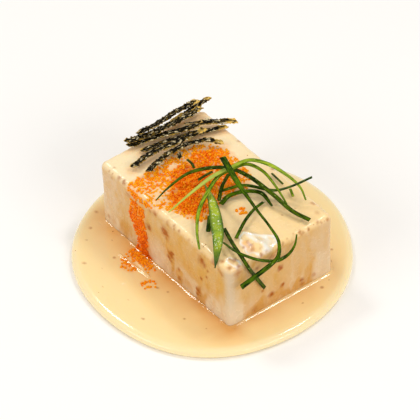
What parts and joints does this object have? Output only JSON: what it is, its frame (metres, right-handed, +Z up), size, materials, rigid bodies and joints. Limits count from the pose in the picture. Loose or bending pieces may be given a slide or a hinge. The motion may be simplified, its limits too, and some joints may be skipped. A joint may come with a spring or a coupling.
{
  "type": "tofu block",
  "caption": "Block of silken tofu in a shallow pool of sesame sauce, topped with fish roe, seaweed strips and spring onion.",
  "frame": {"origin": "on the surface that the food rests on, under the middle of the sauce pool", "axes": "+Z up; +X along the block's long side, towards the short side that the picture shows at the right; -Y towards the long side that it shows at the left"},
  "size_m": [0.1058, 0.1028, 0.0428],
  "materials": {
    "tofu": "smooth, moist and slightly see-through, like set custard",
    "sauce": "glossy cream, darker where it has run down the sides, with fine brown specks",
    "roe": "small glossy grains",
    "seaweed": "crinkled and dry, black green with pale glints",
    "green": "fresh and smooth, with fine lengthwise veins"
  },
  "bodies": {
    "root": {"tofu_block": "tofu", "sauce_coat": "sauce", "sauce_pool": "sauce", "roe_heap": "roe", "nori_strip_1": "seaweed", "nori_strip_2": "seaweed", "nori_strip_3": "seaweed", "nori_strip_4": "seaweed", "nori_strip_5": "seaweed", "nori_strip_6": "seaweed", "nori_strip_7": "seaweed", "nori_strip_8": "seaweed", "nori_strip_9": "seaweed", "green_strip_1": "green", "green_strip_2": "green", "green_strip_3": "green", "green_strip_4": "green", "green_strip_5": "green", "green_strip_6": "green", "green_strip_7": "green", "green_strip_8": "green", "green_strip_9": "green", "green_strip_10": "green", "green_strip_11": "green", "green_strip_12": "green", "green_strip_13": "green", "green_strip_14": "green", "green_strip_15": "green", "green_leaf": "green"}
  },
  "joints": []
}
